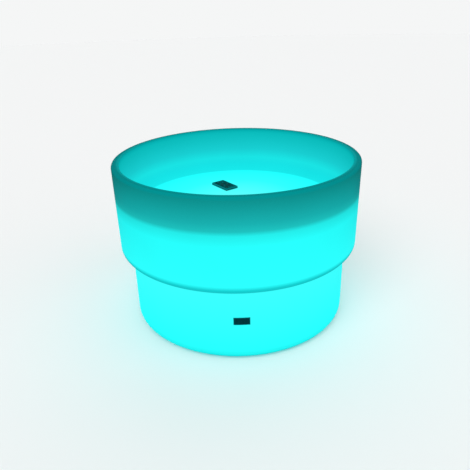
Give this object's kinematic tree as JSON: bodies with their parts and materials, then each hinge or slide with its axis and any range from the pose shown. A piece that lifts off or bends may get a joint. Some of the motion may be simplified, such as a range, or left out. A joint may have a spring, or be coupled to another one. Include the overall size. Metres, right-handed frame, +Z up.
{
  "type": "light-up table",
  "caption": "Round light-up table: a glowing double-walled drum with a deep recess in its top, on a narrower drum, with a light unit underneath and a card remote in the recess.",
  "frame": {"origin": "middle of the foot, on the floor", "axes": "+Z up; the name plate faces -Y and the charging socket lies towards -Y of the power button"},
  "size_m": [0.7398, 0.7398, 0.502],
  "materials": {
    "glow_plastic": "translucent polyethylene, turquoise, lit from inside",
    "plate_black": "satin, nearly black",
    "brass": "turned",
    "white_moulding": "satin white moulding",
    "black_rubber": "matt black",
    "screw_steel": "plain bright steel",
    "cell_wrap": "blue shrink wrap on a steel can",
    "board_green": "solder mask",
    "board_white": "white solder mask",
    "led_resin": "clear resin in a white cup",
    "dark_resin": "black resin",
    "opal_plastic": "opal diffuser",
    "dark_case": "fine texture, dark",
    "membrane_print": "matt printed film"
  },
  "bodies": {
    "table": {"shell": "glow_plastic", "name_plate": "plate_black", "insert_1": "brass", "insert_2": "brass", "insert_3": "brass", "insert_4": "brass", "insert_5": "brass", "insert_6": "brass", "light_unit_base": "white_moulding", "battery_cradle": "white_moulding", "cell_retainer": "white_moulding", "flange_seal": "black_rubber", "cap_anchor": "black_rubber", "socket_lead": "black_rubber", "switch_lead": "black_rubber", "battery_lead": "black_rubber", "led_lead": "black_rubber", "flange_screw_1": "screw_steel", "flange_screw_2": "screw_steel", "flange_screw_3": "screw_steel", "flange_screw_4": "screw_steel", "flange_screw_5": "screw_steel", "flange_screw_6": "screw_steel", "board_screw_1": "screw_steel", "board_screw_2": "screw_steel", "board_screw_3": "screw_steel", "socket_nut": "screw_steel", "battery_cell_1": "cell_wrap", "battery_cell_2": "cell_wrap", "battery_cell_3": "cell_wrap", "battery_cell_4": "cell_wrap", "control_board": "board_green", "led_board": "board_white", "led_1": "led_resin", "led_2": "led_resin", "led_3": "led_resin", "led_4": "led_resin", "led_5": "led_resin", "led_6": "led_resin", "led_7": "led_resin", "led_8": "led_resin", "led_9": "led_resin", "led_10": "led_resin", "led_11": "led_resin", "led_12": "led_resin", "status_led": "led_resin", "ir_receiver": "dark_resin", "dc_socket": "dark_resin", "button_switch": "dark_resin", "diffuser_dome": "opal_plastic"},
    "power_button": {"power_button": "black_rubber"},
    "socket_cap": {"socket_cap": "black_rubber"},
    "remote": {"remote_back_case": "dark_case", "remote_front_case": "dark_case", "remote_keypad": "membrane_print", "remote_board": "board_green", "remote_ir_led": "dark_resin"},
    "battery_tray": {"remote_battery_tray": "dark_case", "coin_cell": "screw_steel"}
  },
  "joints": [
    {"name": "power_button_press", "type": "slide", "parent": "table", "child": "power_button", "axis": [0, 0, 1], "range_m": [0, 0.002], "stiffness_N_per_m": 400, "springref_m": -0.002},
    {"name": "socket_cap_swing", "type": "hinge", "parent": "table", "child": "socket_cap", "pos_m": [0.0105, -0.04698, 0.0165], "axis": [0, -1, 0], "range_deg": [0, 110]},
    {"name": "remote_lift", "type": "slide", "parent": "table", "child": "remote", "axis": [0, 0, 1], "range_m": [0, 0.2]},
    {"name": "battery_tray_pull", "type": "slide", "parent": "remote", "child": "battery_tray", "axis": [0.5764, -0.8171, 0], "range_m": [0, 0.026]}
  ]
}
